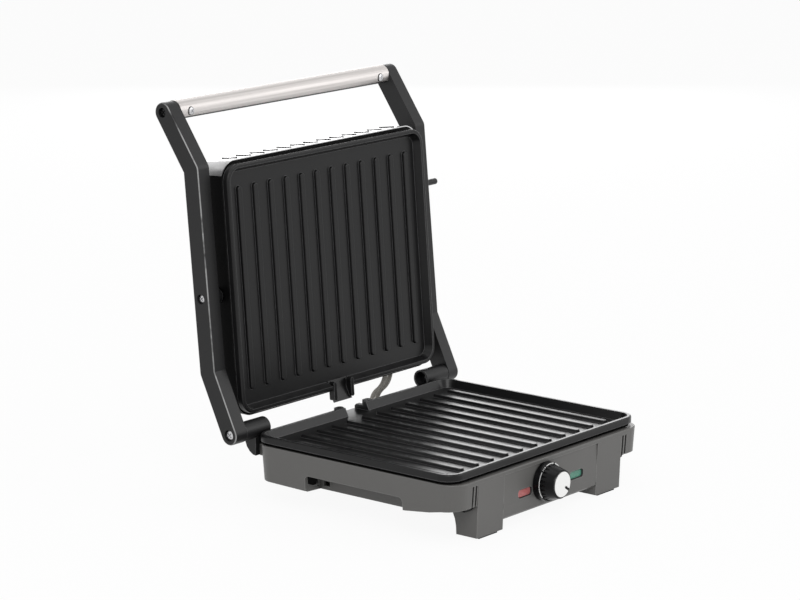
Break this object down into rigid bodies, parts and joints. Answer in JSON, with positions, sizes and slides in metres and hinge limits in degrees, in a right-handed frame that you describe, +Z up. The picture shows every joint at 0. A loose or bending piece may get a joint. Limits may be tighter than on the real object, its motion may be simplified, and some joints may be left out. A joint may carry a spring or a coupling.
{
  "type": "electric contact grill",
  "caption": "Open contact grill: ribbed black plates, grey base with thermostat knob and lamps, silver lid on two black arms with a bar handle.",
  "frame": {"origin": "on the floor, under the centre of the lower cooking plate", "axes": "+Z up, -Y towards the front with the knob, +X to the right seen from the front"},
  "size_m": [0.3664, 0.3743, 0.389],
  "materials": {
    "plate_black": "non-stick coated, satin",
    "housing_grey": "satin",
    "black_plastic": "satin",
    "gloss_black": "gloss",
    "lid_silver": "brushed",
    "bright_steel": "plated",
    "handle_aluminium": "brushed",
    "face_silver": "satin",
    "sheet_aluminium": "bright",
    "heater_steel": "oxidised",
    "red_lens": "translucent",
    "green_lens": "translucent",
    "lamp_glass": "clear",
    "white_plastic": "matte",
    "rubber_black": "matte",
    "braid": "braided glass sleeve"
  },
  "bodies": {
    "base": {"base_housing": "housing_grey", "control_panel": "housing_grey", "bottom_cover": "housing_grey", "foot_pads": "rubber_black", "lower_grill_plate": "plate_black", "lower_heater": "heater_steel", "lower_reflector": "sheet_aluminium", "thermostat": "white_plastic", "thermostat_nut": "bright_steel", "thermal_fuse": "bright_steel", "terminal_block": "white_plastic", "lamp_lens_red": "red_lens", "lamp_lens_green": "green_lens", "neon_lamps": "lamp_glass", "cord_gland": "rubber_black", "plate_screws": "bright_steel", "cover_screws": "bright_steel", "hinge_bracket_left": "black_plastic", "hinge_bracket_right": "black_plastic", "bracket_screws": "bright_steel", "lid_lead": "braid", "lead_grommet": "rubber_black"},
    "knob": {"control_knob": "gloss_black", "knob_face": "face_silver", "thermostat_shaft": "bright_steel"},
    "arm_frame": {"arm_left": "black_plastic", "arm_right": "black_plastic", "hinge_pins": "bright_steel", "float_pins": "bright_steel", "arm_screws": "bright_steel", "handle_core": "black_plastic", "handle_cover": "handle_aluminium", "handle_screws": "bright_steel"},
    "lid": {"lid_casing": "black_plastic", "lid_cover": "lid_silver", "upper_grill_plate": "plate_black", "upper_heater": "heater_steel", "upper_reflector": "sheet_aluminium", "pivot_sleeves": "black_plastic", "lid_screws": "bright_steel"},
    "lock": {"lock_tab": "black_plastic"}
  },
  "joints": [
    {"name": "lid_hinge", "type": "hinge", "parent": "base", "child": "arm_frame", "pos_m": [0, 0.1337, 0.0701], "axis": [-1, 0, 0], "range_deg": [-92.4, 85.6], "deforming": ["lid_lead"]},
    {"name": "lid_float", "type": "hinge", "parent": "arm_frame", "child": "lid", "pos_m": [0, 0.16843, 0.20082], "axis": [1, 0, 0], "range_deg": [0, 4]},
    {"name": "knob_turn", "type": "hinge", "parent": "base", "child": "knob", "pos_m": [-0.0105, -0.127, 0.036], "axis": [0, -1, 0], "range_deg": [-10, 260]},
    {"name": "lock_slide", "type": "slide", "parent": "arm_frame", "child": "lock", "axis": [0, 0.0767, 0.9971], "range_m": [0, 0.012]}
  ]
}
